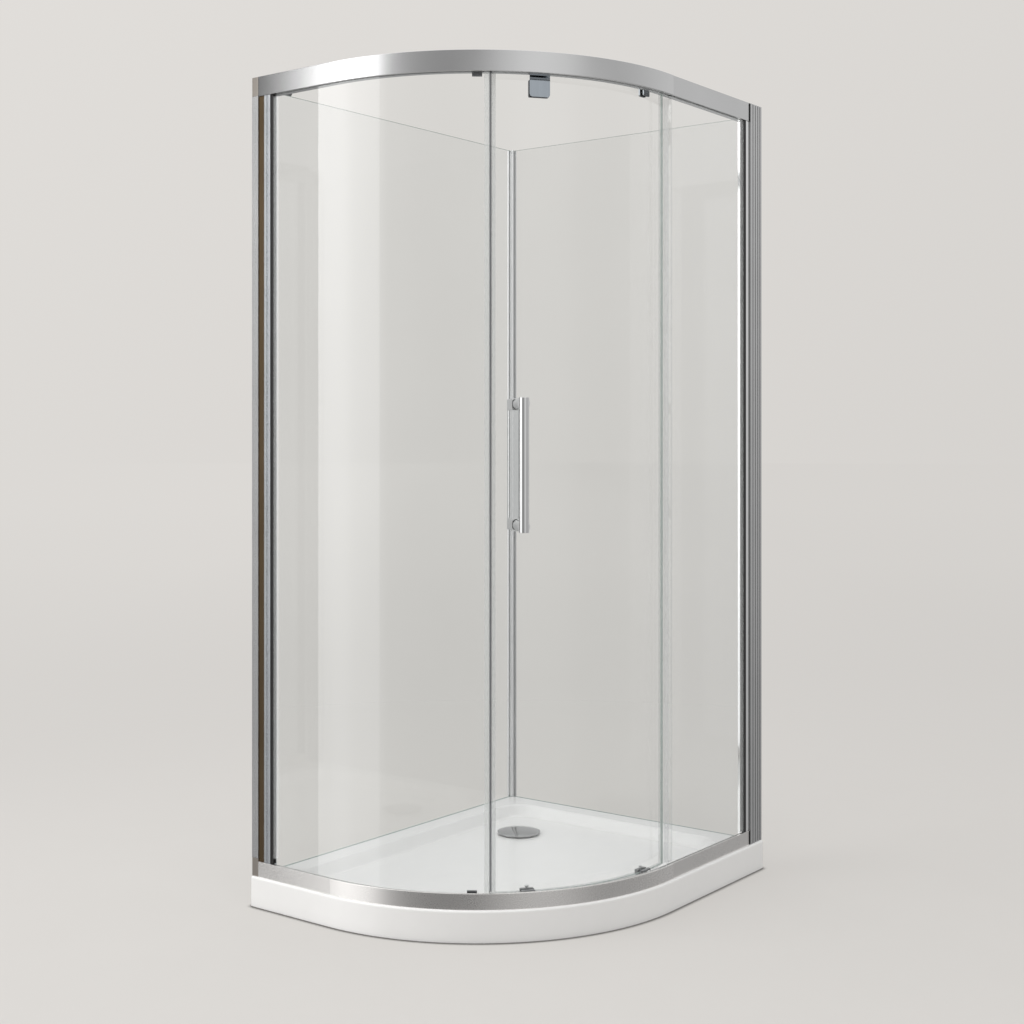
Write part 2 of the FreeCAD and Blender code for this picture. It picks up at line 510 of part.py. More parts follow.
for a, s in HB:
    z = HZ[a]
    head = bore(a, z, 5.5 if a == LEAD_A else 4.6, 57.5, 60.2, s)
    b = join(bore(a, z, 2.95, 43.6, 57.5, s), head)
    b = b.cut(bore(a, z, 2.2, 58.6, 62.0, s))
    bolts.append(b)
N["hanger_bolts"] = group(bolts)


def axle(a, z, r, wheel_o, half_w, clip_r, o_in, collar_r):
    """stub axle from the hanger or guide out through its wheel, with a retaining head"""
    wi, wo = wheel_o + half_w, wheel_o - half_w
    return join(
        bore(a, z, r - 0.05, wo - 0.6, o_in),
        bore(a, z, clip_r, wo - 1.3, wo - 0.3),
        bore(a, z, collar_r, wi + 0.3, 42.0 if o_in > 41 else o_in - 1.0))


axles = [axle(a, Z_WHEEL, 3.0, WHEEL_O, 3.0, 4.2, 45.0, 5.0) for a in (LEAD_A, TRAIL_A)]


def wheel(a, z, r, o, half_w, bore_r, hub_r):
    """a grooved roller with a recessed web"""
    p = [(bore_r, -half_w), (hub_r, -half_w), (hub_r + 0.4, -half_w + 0.8), (r - 2.2, -half_w + 0.8), (r - 1.8, -half_w), (r - 0.8, -half_w), (r, -half_w + 0.8)]
    pts = [V(x, y) for x, y in p] + [V(x, -y) for x, y in reversed(p)]
    pts.append(pts[0])
    f = Part.Face(Part.makePolygon(pts))
    w = f.revolve(V(0, 0), V(0, 1, 0), 360)        # axis along Y
    w.rotate(V(0, 0), UP, -90)                     # axis along X
    return place(w, a, o, z)


N["lead_top_wheel"] = wheel(LEAD_A, Z_WHEEL, WHEEL_R, WHEEL_O, 3.0, 3.0, 6.0)
N["trail_top_wheel"] = wheel(TRAIL_A, Z_WHEEL, WHEEL_R, WHEEL_O, 3.0, 3.0, 6.0)

# bottom guides
blocks = []
GB = Z_GTRACK + 3.3          # underside of the guide blocks
BT = GB + 12.2               # and their top
for a in (GLEAD_A, GTRAIL_A):
    b = Part.makeBox(24.0, 31.0, BT - GB, V(-12.0, -15.5, GB))
    b = fillet(b, 2.0, lambda e: upright(e) or (level(BT)(e)))
    b = place(b, a, 50.5)                          # spans offsets 38.5 to 62.5
    b = b.cut(sector(DOOR_O - 0.1, DOOR_O + GLASS + 0.1, DZ0 - 0.2, 200, a - 5, a + 5))
    b = b.cut(cyl(3.0, at(57.5, a, BT - 10.0), UP, 20))
    b = b.cut(bore(a, Z_GUIDE, 2.0, 37, 43))
    blocks.append(b)
    axles.append(join(bore(a, Z_GUIDE, 1.95, GUIDE_O - 2.5 - 0.6, 43.0), bore(a, Z_GUIDE, 2.8, GUIDE_O - 2.5 - 1.2, GUIDE_O - 2.5 - 0.3), bore(a, Z_GUIDE, 3.2, GUIDE_O + 2.8, 38.5)))
N["guide_blocks"] = group(blocks)
N["wheel_axles"] = group(axles)
N["lead_guide_wheel"] = wheel(GLEAD_A, Z_GUIDE, GUIDE_R, GUIDE_O, 2.5, 2.0, 4.0)
N["trail_guide_wheel"] = wheel(GTRAIL_A, Z_GUIDE, GUIDE_R, GUIDE_O, 2.5, 2.0, 4.0)
for nm, a in (("lead", GLEAD_A), ("trail", GTRAIL_A)):
    cap_ = fillet(cyl(4.4, at(57.5, a, BT + 3.4), UP, 2.2), 0.8, level(BT + 5.6))
    N[nm + "_release_button"] = join(cyl(2.93, at(57.5, a, BT - 3.4), UP, 6.8), cap_)
    # small spring: four wire rings, joined in turn by short posts
    wires = [Part.makeTorus(2.1, 0.35, V(0, 0, 5.6 * k / 3), UP) for k in range(4)]
    for k in range(3):
        t = math.radians(120 * k + 20)
        wires.append(cyl(0.28, V(2.1 * math.cos(t), 2.1 * math.sin(t), 5.6 * k / 3), UP, 5.6 / 3))
    sp = join(*wires)
    sp.translate(at(57.5, a, BT - 9.5))
    N[nm + "_guide_spring"] = sp

# ---------------------------------------------------------------- handle
zh0, zh1 = HANDLE_Z - HANDLE_SPAN / 2, HANDLE_Z + HANDLE_SPAN / 2
OB = DOOR_O - HANDLE_REACH                 # offset of the outer bar's axis
IB = DOOR_O + GLASS + HANDLE_REACH         # offset of the inner bar's middle
obar = cyl(11.0, at(OB, HANDLE_A, HANDLE_Z - 145.0), UP, 290.0)
obar = fillet(obar, 0.5, lambda e: level(HANDLE_Z - 145.0)(e) or level(HANDLE_Z + 145.0)(e))
for z in (zh0, zh1):
    obar = obar.cut(bore(HANDLE_A, z, 4.0, OB + 3.0, OB + 12.0))
N["outer_handle_bar"] = obar
so = []
for z in (zh0, zh1):
    s = bore(HANDLE_A, z, 13.5, OB, DOOR_O - 1.5)
    s = fillet(s, 0.8, lambda e: e.Length > 80 and abs(math.hypot(e.CenterOfMass.x - CX, e.CenterOfMass.y - CY) - (TRAY_R - DOOR_O + 1.5)) < 0.1)
    s = s.cut(cyl(11.05, at(OB, HANDLE_A, z - 30), UP, 60))
    # keep only the part between the bar and the glass
    s = max(s.Solids, key=lambda q: (TRAY_R - math.hypot(q.CenterOfMass.x - CX, q.CenterOfMass.y - CY)))
    s = s.cut(bore(HANDLE_A, z, 4.0, OB, DOOR_O))
    so.append(s)
N["handle_standoffs"] = group(so)
for z in (zh0, zh1):
    for o1, o2 in ((DOOR_O - 1.45, DOOR_O - 0.05), (DOOR_O + GLASS + 0.25, DOOR_O + GLASS + 1.45)):
        pads.append(bore(HANDLE_A, z, 12.2, o1, o2).cut(bore(HANDLE_A, z, 5.0, 40, 60)))
N["glass_pads"] = group(pads)
ib = []
for z in (zh0, zh1):
    s = Part.makeBox(IB + 6.5 - (DOOR_O + GLASS + 1.5), 26.0, 26.0, V(0, -13.0, z - 13.0))
    s = fillet(s, 2.5, lambda e: e.BoundBox.XLength > 30)
    s = place(s, HANDLE_A, IB + 6.5)
    s = s.cut(bore(HANDLE_A, z, 4.0, DOOR_O, IB - 8.0))
    ib.append(s)
N["inner_handle_blocks"] = group(ib)
ibar = Part.makeBox(12.0, 27.0, zh1 - zh0 - 26.0, V(-6.0, -13.5, zh0 + 13.0))
ibar = fillet(ibar, 5.0, upright)
N["inner_handle_bar"] = place(ibar, HANDLE_A, IB)
N["handle_bolts"] = group([bore(HANDLE_A, z, 3.95, OB + 3.4, IB - 8.4) for z in (zh0, zh1)])

# ---------------------------------------------------------------- export
if __name__ == "__main__":
    total = 0.0
    for name, shape in N.items():
        if not shape.isValid():
            print("INVALID", name)
        sol = shape.Solids
        total += shape.Volume
        print("%-26s solids %2d  vol %12.1f  box %s" % (name, len(sol), shape.Volume, [round(v, 1) for v in (
            shape.BoundBox.XMin, shape.BoundBox.XMax, shape.BoundBox.YMin, shape.BoundBox.YMax, shape.BoundBox.ZMin, shape.BoundBox.ZMax)]))
        out = sol[0] if len(sol) == 1 else Part.makeCompound(sol)
        out.exportStep("parts/" + name + ".step")
    print("nodes", len(N))
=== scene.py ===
import bpy
import bmesh
import math
from mathutils import Vector, Matrix


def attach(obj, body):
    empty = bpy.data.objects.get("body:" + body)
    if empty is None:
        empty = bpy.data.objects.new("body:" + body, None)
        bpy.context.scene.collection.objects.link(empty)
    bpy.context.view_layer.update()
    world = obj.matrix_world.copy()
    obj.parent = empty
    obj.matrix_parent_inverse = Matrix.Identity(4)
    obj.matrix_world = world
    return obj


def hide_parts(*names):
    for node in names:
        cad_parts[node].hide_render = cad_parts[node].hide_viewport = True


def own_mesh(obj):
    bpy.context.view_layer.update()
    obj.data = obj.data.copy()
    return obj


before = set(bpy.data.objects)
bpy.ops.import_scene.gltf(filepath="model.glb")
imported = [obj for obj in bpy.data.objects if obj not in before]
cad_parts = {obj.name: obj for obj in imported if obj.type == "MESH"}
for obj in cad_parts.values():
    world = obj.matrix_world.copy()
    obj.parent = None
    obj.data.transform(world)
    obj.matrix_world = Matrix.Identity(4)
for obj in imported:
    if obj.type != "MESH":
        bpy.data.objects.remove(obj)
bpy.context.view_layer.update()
scene = bpy.context.scene
for junk in [o for o in bpy.data.objects if o.type in ("CAMERA", "LIGHT")]:
    bpy.data.objects.remove(junk)

# ------------------------------------------------------------------ camera
CAM_POS = Vector((2.2130, -2.9373, 1.0868))
CAM_YAW = math.radians(37.213)
cam_data = bpy.data.cameras.new("camera")
cam_data.sensor_width = 36.0
cam_data.sensor_fit = "HORIZONTAL"
cam_data.lens = 1519.39 * 36.0 / 1024.0
cam_data.shift_x = 0.0
cam_data.shift_y = (437.0 - 512.0) / 1024.0
cam_data.clip_start = 0.05
cam_data.clip_end = 200.0
cam = bpy.data.objects.new("camera", cam_data)
cam.location = CAM_POS
cam.rotation_euler = (math.radians(90.0), 0.0, CAM_YAW)
scene.collection.objects.link(cam)
scene.camera = cam

scene.view_settings.view_transform = "Standard"
scene.view_settings.look = "None"
scene.view_settings.exposure = 0.0
scene.view_settings.gamma = 1.0
scene.cycles.transparent_max_bounces = 48
scene.cycles.max_bounces = 14
scene.cycles.glossy_bounces = 6
scene.cycles.transmission_bounces = 12
scene.cycles.diffuse_bounces = 4

BG = (0.728, 0.706, 0.679)          # linear colour of the pale backdrop


# ------------------------------------------------------------------ node helpers
class Graph:
    def __init__(self, name):
        self.mat = bpy.data.materials.new(name)
        self.mat.use_nodes = True
        self.t = self.mat.node_tree
        self.t.nodes.clear()
        self.out = self.t.nodes.new("ShaderNodeOutputMaterial")

    def node(self, kind, **props):
        n = self.t.nodes.new(kind)
        for k, v in props.items():
            setattr(n, k, v)
        return n

    def link(self, a, b):
        self.t.links.new(a, b)

    def coords(self):
        return self.node("ShaderNodeTexCoord").outputs["Object"]

    def mapping(self, vec, scale=(1, 1, 1), rot=(0, 0, 0)):
        m = self.node("ShaderNodeMapping")
        m.inputs["Scale"].default_value = scale
        m.inputs["Rotation"].default_value = rot
        self.link(vec, m.inputs["Vector"])
        return m.outputs["Vector"]

    def noise(self, vec, scale, detail=3.0, rough=0.5):
        n = self.node("ShaderNodeTexNoise")
        n.inputs["Scale"].default_value = scale
        n.inputs["Detail"].default_value = detail
        n.inputs["Roughness"].default_value = rough
        self.link(vec, n.inputs["Vector"])
        return n.outputs["Fac"]

    def ramp(self, fac, stops, interp="LINEAR"):
        r = self.node("ShaderNodeValToRGB")
        r.color_ramp.interpolation = interp
        e = r.color_ramp.elements
        while len(e) > 1:
            e.remove(e[-1])
        e[0].position = stops[0][0]
        e[0].color = tuple(stops[0][1]) + (1.0,)
        for p, c in stops[1:]:
            x = e.new(p)
            x.color = tuple(c) + (1.0,)
        self.link(fac, r.inputs["Fac"])
        return r.outputs["Color"]

    def remap(self, val, a, b, c, d, clamp=True):
        m = self.node("ShaderNodeMapRange")
        m.clamp = clamp
        m.inputs["From Min"].default_value = a
        m.inputs["From Max"].default_value = b
        m.inputs["To Min"].default_value = c
        m.inputs["To Max"].default_value = d
        self.link(val, m.inputs["Value"])
        return m.outputs["Result"]

    def math(self, op, a, b=None):
        m = self.node("ShaderNodeMath", operation=op)
        for i, v in enumerate((a, b)):
            if v is None:
                continue
            if isinstance(v, (int, float)):
                m.inputs[i].default_value = v
            else:
                self.link(v, m.inputs[i])
        return m.outputs["Value"]

    def bump(self, height, strength, distance=0.001):
        b = self.node("ShaderNodeBump")
        b.inputs["Strength"].default_value = strength
        b.inputs["Distance"].default_value = distance
        self.link(height, b.inputs["Height"])
        return b.outputs["Normal"]

    def principled(self, **vals):
        p = self.node("ShaderNodeBsdfPrincipled")
        for k, v in vals.items():
            p.inputs[k.replace("_", " ")].default_value = v
        self.link(p.outputs["BSDF"], self.out.inputs["Surface"])
        return p


def grey(v, warm=0.0):
    return (v * (1 + warm), v, v * (1 - warm))


def metal(name, lo, hi, r_lo, r_hi, along="z", scale=900.0, bump=0.02, tint=0.0, painted_end_shade=None):
    """bare metal with fine drawing lines along one axis"""
    g = Graph(name)
    c = g.coords()
    s = {"z": (1, 1, 0.004), "xy": (1, 1, 1), "ring": (0.02, 0.02, 1)}[along]
    fine = g.noise(g.mapping(c, s), scale, 3.0, 0.6)
    broad = g.noise(c, 7.0, 2.0, 0.5)
    p = g.principled(Metallic=1.0)
    mix = g.math("ADD", g.math("MULTIPLY", fine, 0.5), g.math("MULTIPLY", broad, 0.5))
    col = g.ramp(mix, [(0.25, grey(lo, tint)), (0.75, grey(hi, tint))])
    if painted_end_shade:
        # painted shade: the colour darkens towards one end, standing in for the rail's dimmer reflection there
        sp = g.node("ShaderNodeSeparateXYZ")
        g.link(c, sp.inputs[0])
        v = g.node("ShaderNodeVectorMath", operation="SCALE")
        g.link(col, v.inputs[0])
        g.link(g.remap(sp.outputs["X"], painted_end_shade[0], painted_end_shade[1], painted_end_shade[2], 1.0), v.inputs["Scale"])
        col = v.outputs[0]
    g.link(col, p.inputs["Base Color"])
    g.link(g.remap(mix, 0.3, 0.7, r_lo, r_hi), p.inputs["Roughness"])
    g.link(g.bump(fine, bump, 0.0004), p.inputs["Normal"])
    return g.mat


def plastic(name, col, var=0.06, rough=(0.3, 0.42), scale=60.0, bump=0.05, coat=0.0, spec=0.5, sss=0.0):
    g = Graph(name)
    c = g.coords()
    n = g.noise(c, scale, 4.0, 0.6)
    b = g.noise(c, 3.0, 2.0, 0.5)
    mix = g.math("ADD", g.math("MULTIPLY", n, 0.6), g.math("MULTIPLY", b, 0.4))
    p = g.principled()
    p.inputs["Specular IOR Level"].default_value = spec
    p.inputs["Coat Weight"].default_value = coat
    p.inputs["Coat Roughness"].default_value = 0.06
    lo = tuple(x * (1 - var) for x in col)
    hi = tuple(min(1.0, x * (1 + var)) for x in col)
    g.link(g.ramp(mix, [(0.3, lo), (0.7, hi)]), p.inputs["Base Color"])
    g.link(g.remap(mix, 0.3, 0.7, rough[0], rough[1]), p.inputs["Roughness"])
    g.link(g.bump(g.noise(c, scale * 12, 2.0, 0.5), bump, 0.0003), p.inputs["Normal"])
    return g.mat


def pane(name, tint, edge, edge_mix=0.62, refl=1.0, cx=None, cy=None):
    """clear sheet: tinted see-through faces with a mirror-like skin, and greener, more solid edges.
    The edges are told from the faces by which way they point; on the curved sheets that is judged from the bend's centre."""
    g = Graph(name)
    geo = g.node("ShaderNodeNewGeometry")
    c = g.coords()
    sep = g.node("ShaderNodeSeparateXYZ")
    g.link(geo.outputs["True Normal"], sep.inputs[0])
    up = g.math("ABSOLUTE", sep.outputs["Z"])
    n = g.noise(c, 3.5, 2.0, 0.5)
    streak = g.noise(g.mapping(c, (1, 1, 0.06)), 26.0, 3.0, 0.55)
    tr = g.node("ShaderNodeBsdfTransparent")
    lo = tuple(t * 0.994 for t in tint)
    g.link(g.ramp(n, [(0.3, lo), (0.7, tint)]), tr.inputs["Color"])
    gl = g.node("ShaderNodeBsdfGlossy")
    gl.inputs["Color"].default_value = (refl, refl, refl, 1)
    g.link(g.remap(streak, 0.3, 0.7, 0.004, 0.02), gl.inputs["Roughness"])
    fr = g.node("ShaderNodeFresnel")
    fr.inputs["IOR"].default_value = 1.5
    face = g.node("ShaderNodeMixShader")
    # one reflection for each sheet: the skin that faces outwards carries both
    g.link(g.math("MULTIPLY", g.math("MINIMUM", g.math("MULTIPLY", fr.outputs["Fac"], 1.8), 1.0), g.math("SUBTRACT", 1.0, geo.outputs["Backfacing"])), face.inputs["Fac"])
    g.link(tr.outputs[0], face.inputs[1])
    g.link(gl.outputs[0], face.inputs[2])
    ed = g.node("ShaderNodeBsdfPrincipled")
    g.link(g.ramp(streak, [(0.3, tuple(e * 0.85 for e in edge)), (0.7, edge)]), ed.inputs["Base Color"])
    ed.inputs["Roughness"].default_value = 0.12
    et = g.node("ShaderNodeBsdfTransparent")
    et.inputs["Color"].default_value = (0.72, 0.80, 0.76, 1)
    em = g.node("ShaderNodeMixShader")
    em.inputs["Fac"].default_value = edge_mix
    g.link(et.outputs[0], em.inputs[1])
    g.link(ed.outputs[0], em.inputs[2])
    mask = g.math("GREATER_THAN", up, 0.5)
    if cx is not None:
        # sideways-pointing end faces: the normal's part square to the radius
        pos = g.node("ShaderNodeSeparateXYZ")
        g.link(c, pos.inputs[0])
        dx = g.math("SUBTRACT", pos.outputs["X"], cx)
        dy = g.math("SUBTRACT", pos.outputs["Y"], cy)
        ln = g.math("SQRT", g.math("ADD", g.math("MULTIPLY", dx, dx), g.math("MULTIPLY", dy, dy)))
        onrm = g.node("ShaderNodeVectorTransform", vector_type="NORMAL", convert_from="WORLD", convert_to="OBJECT")
        g.link(geo.outputs["True Normal"], onrm.inputs[0])
        so = g.node("ShaderNodeSeparateXYZ")
        g.link(onrm.outputs[0], so.inputs[0])
        dot = g.math("ABSOLUTE", g.math("DIVIDE", g.math("ADD", g.math("MULTIPLY", so.outputs["X"], dx), g.math("MULTIPLY", so.outputs["Y"], dy)), ln))
        side = g.math("LESS_THAN", dot, 0.35)
        mask = g.math("MAXIMUM", mask, side)
    fin = g.node("ShaderNodeMixShader")
    g.link(mask, fin.inputs["Fac"])
    g.link(face.outputs[0], fin.inputs[1])
    g.link(em.outputs[0], fin.inputs[2])
    g.link(fin.outputs[0], g.out.inputs["Surface"])
    return g.mat


def film(name, col, alpha, rough=0.25, var=0.02):
    """soft translucent plastic strip"""
    g = Graph(name)
    c = g.coords()
    n = g.noise(g.mapping(c, (1, 1, 0.02)), 900.0, 2.0, 0.5)
    p = g.principled(Roughness=rough)
    g.link(g.ramp(n, [(0.3, tuple(x * (1 - var) for x in col)), (0.7, col)]), p.inputs["Base Color"])
    tr = g.node("ShaderNodeBsdfTransparent")
    mix = g.node("ShaderNodeMixShader")
    g.link(g.remap(n, 0.3, 0.7, alpha - 0.012, alpha + 0.012), mix.inputs["Fac"])
    g.link(tr.outputs[0], mix.inputs[1])
    g.link(p.outputs[0], mix.inputs[2])
    g.link(mix.outputs[0], g.out.inputs["Surface"])
    return g.mat


M = {
    "tray": plastic("cast_resin", (0.86, 0.855, 0.845), 0.012, (0.16, 0.24), 30.0, 0.01, coat=0.35),
    # the curved top rail carries painted shade, darker towards its left end
    "rail": metal("satin_rail", 0.62, 0.72, 0.19, 0.26, "xy", 700.0, 0.012, painted_end_shade=(-0.385, -0.13, 0.36)),
    "rail_flat": metal("satin_rail_flat", 0.57, 0.66, 0.20, 0.27, "xy", 700.0, 0.012),
    "rail_low": metal("satin_rail_low", 0.74, 0.82, 0.24, 0.30, "xy", 700.0, 0.012, tint=0.026),
    "rail_low_flat": metal("satin_rail_low_flat", 0.68, 0.76, 0.26, 0.32, "xy", 700.0, 0.012, tint=0.026),
    "left_wall": metal("pale_wall_profile", 0.50, 0.55, 0.24, 0.28, "z", 1200.0, 0.002),
    "corner": metal("pale_corner", 0.86, 0.92, 0.30, 0.38, "z", 1200.0, 0.01),
    "bronze": metal("warm_profile", 0.085, 0.110, 0.20, 0.26, "z", 1200.0, 0.002, tint=0.42),
    "cover": metal("waste_chrome", 0.40, 0.50, 0.08, 0.12, "ring", 700.0, 0.01),
    "cap": metal("end_cap", 0.27, 0.33, 0.30, 0.36, "xy", 300.0, 0.01, tint=0.10),
    "profile": metal("wall_profile", 0.50, 0.58, 0.10, 0.16, "z", 1200.0, 0.01),
    "stile": metal("satin_stile", 0.62, 0.68, 0.18, 0.22, "z", 1200.0, 0.002, tint=-0.03),
    "smoke": metal("dark_chrome", 0.22, 0.28, 0.08, 0.14, "z", 500.0, 0.006, tint=-0.05),
    "bright": metal("bright_profile", 0.74, 0.84, 0.06, 0.11, "z", 1200.0, 0.01),
    "chrome": metal("mirror_chrome", 0.72, 0.80, 0.03, 0.06, "z", 900.0, 0.004),
    "plate": metal("hanger_chrome", 0.36, 0.44, 0.06, 0.10, "z", 700.0, 0.005, tint=-0.09),
    "steel": metal("stainless", 0.52, 0.62, 0.22, 0.34, "xy", 900.0, 0.03),
    "rubber": plastic("black_rubber", (0.012, 0.012, 0.012), 0.3, (0.55, 0.7), 90.0, 0.12),
    "grey": plastic("grey_plastic", (0.20, 0.203, 0.208), 0.08, (0.28, 0.40), 90.0, 0.05),
    "dark": plastic("dark_plastic", (0.055, 0.057, 0.062), 0.12, (0.22, 0.34), 90.0, 0.05),
    "button": plastic("button_plastic", (0.55, 0.555, 0.56), 0.05, (0.22, 0.32), 90.0, 0.04),
    "white": plastic("white_plastic", (0.80, 0.80, 0.78), 0.03, (0.3, 0.4), 80.0, 0.05),
    "magnet": plastic("magnet_strip", (0.055, 0.062, 0.078), 0.10, (0.35, 0.45), 90.0, 0.04),
    "seal": film("clear_seal", (0.78, 0.80, 0.80), 0.17),
    "fin": film("clear_fin", (0.60, 0.62, 0.625), 0.16),
    "glass": pane("clear_glass", (0.989, 0.993, 0.991), (0.36, 0.44, 0.41)),
    "back_glass": pane("back_glass", (0.994, 0.997, 0.9955), (0.36, 0.44, 0.41), refl=0.15),
    "side_glass": pane("side_glass", (0.994, 0.997, 0.9955), (0.36, 0.44, 0.41), refl=0.6),
    "bent_glass": pane("bent_glass", (0.989, 0.993, 0.991), (0.36, 0.44, 0.41), cx=-0.150, cy=0.050),
}
USE = {
    "tray": ["shower_tray"],
    "rail": ["top_rail_curved"],
    "rail_flat": ["top_rail_straight"],
    "rail_low": ["bottom_rail_curved"],
    "rail_low_flat": ["bottom_rail_straight"],
    "cap": ["post_end_caps"],
    "bright": ["right_adjusting_profile"],
    "bronze": ["left_adjusting_profile"],
    "left_wall": ["left_wall_profile"],
    "corner": ["corner_post"],
    "profile": ["right_wall_profile"],
    "stile": ["left_panel_stile"],
    "plate": ["lead_hanger_plate"],
    "smoke": ["trail_hanger_plate", "hanger_clamps"],
    "cover": ["waste_cover"],
    "chrome": ["outer_handle_bar", "handle_standoffs", "inner_handle_blocks", "inner_handle_bar"],
    "steel": ["waste_flange", "rail_joint_bars", "profile_screws", "hanger_bolts", "wheel_axles", "lead_guide_spring", "trail_guide_spring", "handle_bolts"],
    "rubber": ["waste_seal", "left_gasket", "right_gaskets", "track_stops", "glass_pads"],
    "grey": ["rail_infill_strips", "guide_blocks"],
    "dark": ["left_panel_stay", "fixed_panel_clips"],
    "button": ["lead_release_button", "trail_release_button"],
    "white": ["waste_body", "waste_insert", "lead_top_wheel", "trail_top_wheel", "lead_guide_wheel", "trail_guide_wheel"],
    "magnet": ["strike_magnet", "door_magnet"],
    "seal": ["left_edge_strip", "right_edge_strip", "glazing_gaskets", "strike_seal", "door_magnet_seal"],
    "fin": ["straight_glass_seal", "door_trailing_seal", "door_bottom_seal"],
    "glass": ["fixed_straight_glass"],
    "back_glass": ["right_back_glass"],
    "side_glass": ["left_back_glass"],
    "bent_glass": ["fixed_curved_glass", "door_glass"],
}


def paint(node, mat):
    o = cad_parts[node]
    if not o.material_slots:
        o.data.materials.append(mat)
    for s in o.material_slots:
        s.material = mat


left = set(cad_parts)
for key, names in USE.items():
    for n in names:
        paint(n, M[key])
        left.discard(n)
print("UNPAINTED", sorted(left))

# the small springs under the release buttons are copied and carried with the door
for side in ("lead", "trail"):
    node = side + "_guide_spring"
    ob = bpy.data.objects.new(side + "_button_spring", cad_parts[node].data.copy())
    scene.collection.objects.link(ob)
    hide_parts(node)
    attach(ob, "door")
    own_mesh(ob)


# ------------------------------------------------------------------ stage
def stage_floor():
    bm = bmesh.new()
    rings = [0.0, 0.4, 0.8, 1.2, 2.0, 3.5, 6.0, 12.0, 30.0, 60.0]
    prev = None
    centre = bm.verts.new((0, 0, 0))
    seg = 96
    for r in rings[1:]:
        cur = [bm.verts.new((r * math.cos(2 * math.pi * i / seg), r * math.sin(2 * math.pi * i / seg), 0)) for i in range(seg)]
        for i in range(seg):
            j = (i + 1) % seg
            if prev is None:
                bm.faces.new((centre, cur[i], cur[j]))
            else:
                bm.faces.new((prev[i], cur[i], cur[j], prev[j]))
        prev = cur
    me = bpy.data.meshes.new("floor")
    bm.to_mesh(me)
    bm.free()
    o = bpy.data.objects.new("floor", me)
    scene.collection.objects.link(o)
    o.location = (0, 0, -0.0005)
    g = Graph("floor_paper")
    c = g.coords()
    sep = g.node("ShaderNodeSeparateXYZ")
    g.link(c, sep.inputs[0])
    r = g.math("SQRT", g.math("ADD", g.math("MULTIPLY", sep.outputs["X"], sep.outputs["X"]), g.math("MULTIPLY", sep.outputs["Y"], sep.outputs["Y"])))
    near = g.remap(r, 0.7, 2.6, 1.0, 0.0)
    em = g.node("ShaderNodeEmission")
    def tone(k):
        return tuple(k * x for x in BG)
    back = g.math("ADD", g.math("MULTIPLY", sep.outputs["X"], -0.605), g.math("MULTIPLY", sep.outputs["Y"], 0.797))
    across = g.math("ADD", g.math("MULTIPLY", sep.outputs["X"], 0.797), g.math("MULTIPLY", sep.outputs["Y"], 0.605))
    # painted shade: the floor's glow dips darker from just in front of the object to a few metres behind it, and
    # darkens towards the right
    g.link(g.ramp(g.remap(back, -1.4, 20.0, 0.0, 1.0), [(0.0, tone(0.95)), (0.04, tone(0.91)), (0.10, tone(0.915)), (0.22, tone(0.905)), (0.5, tone(0.94)), (1.0, tone(0.955))]), em.inputs["Color"])
    g.link(g.remap(across, -2.6, 2.6, 1.03, 0.965), em.inputs["Strength"])
    df = g.node("ShaderNodeBsdfDiffuse")
    g.link(g.ramp(g.noise(c, 5.0, 2.0, 0.5), [(0.3, (0.62, 0.60, 0.575)), (0.7, (0.63, 0.61, 0.585))]), df.inputs["Color"])
    mx = g.node("ShaderNodeMixShader")
    g.link(g.math("MULTIPLY", near, 0.45), mx.inputs["Fac"])
    g.link(em.outputs[0], mx.inputs[1])
    g.link(df.outputs[0], mx.inputs[2])
    # painted contact shadow: a thin dark strip glows on the floor where the tray meets it, driven by the floor's
    # ambient occlusion
    ao = g.node("ShaderNodeAmbientOcclusion", samples=8)
    ao.inputs["Distance"].default_value = 0.014
    contact_shadow_mix = g.node("ShaderNodeMixShader")
    painted_contact_shadow = g.node("ShaderNodeEmission")
    painted_contact_shadow.inputs["Color"].default_value = (0.10, 0.095, 0.09, 1)
    g.link(g.remap(ao.outputs["AO"], 0.62, 0.93, 0.85, 0.0), contact_shadow_mix.inputs["Fac"])
    g.link(mx.outputs[0], contact_shadow_mix.inputs[1])
    g.link(painted_contact_shadow.outputs[0], contact_shadow_mix.inputs[2])
    g.link(contact_shadow_mix.outputs[0], g.out.inputs["Surface"])
    me.materials.append(g.mat)
    o.visible_glossy = False
    return o


floor = stage_floor()

# ------------------------------------------------------------------ soft studio light
world = bpy.data.worlds.new("studio")
scene.world = world
world.use_nodes = True
wt = world.node_tree
wt.nodes.clear()
wout = wt.nodes.new("ShaderNodeOutputWorld")
tc = wt.nodes.new("ShaderNodeTexCoord")
sx = wt.nodes.new("ShaderNodeSeparateXYZ")
wt.links.new(tc.outputs["Generated"], sx.inputs[0])


def wmath(op, a, b=None):
    m = wt.nodes.new("ShaderNodeMath")
    m.operation = op
    for i, v in enumerate((a, b)):
        if v is None:
            continue
        if isinstance(v, (int, float)):
            m.inputs[i].default_value = v
        else:
            wt.links.new(v, m.inputs[i])
    return m.outputs[0]


az = wmath("ARCTAN2", sx.outputs["Y"], sx.outputs["X"])
fac = wmath("ADD", wmath("MULTIPLY", az, 1.0 / (2 * math.pi)), 0.5)
BANDS = [(-180, 0.60), (-150, 0.50), (-138, 0.40), (-134.5, 0.55), (-131, 0.95), (-125, 1.35), (-106, 1.35), (-100, 0.62), (-85, 0.42), (-70, 0.36), (-55, 0.42),
         (-42, 0.70), (-30, 0.88), (-20, 0.90), (-8, 0.82), (4, 0.58), (20, 0.54), (34, 0.62), (56, 0.72), (64, 0.74), (100, 0.70), (180, 0.60)]
band = wt.nodes.new("ShaderNodeValToRGB")
e = band.color_ramp.elements
e[0].position = 0.0
e[0].color = (BANDS[0][1] / 4,) * 3 + (1,)
e[1].position = 1.0
e[1].color = (BANDS[-1][1] / 4,) * 3 + (1,)
for a, v in BANDS[1:-1]:
    x = e.new((a + 180.0) / 360.0)
    x.color = (v / 4, v / 4, v / 4, 1)
wt.links.new(fac, band.inputs["Fac"])
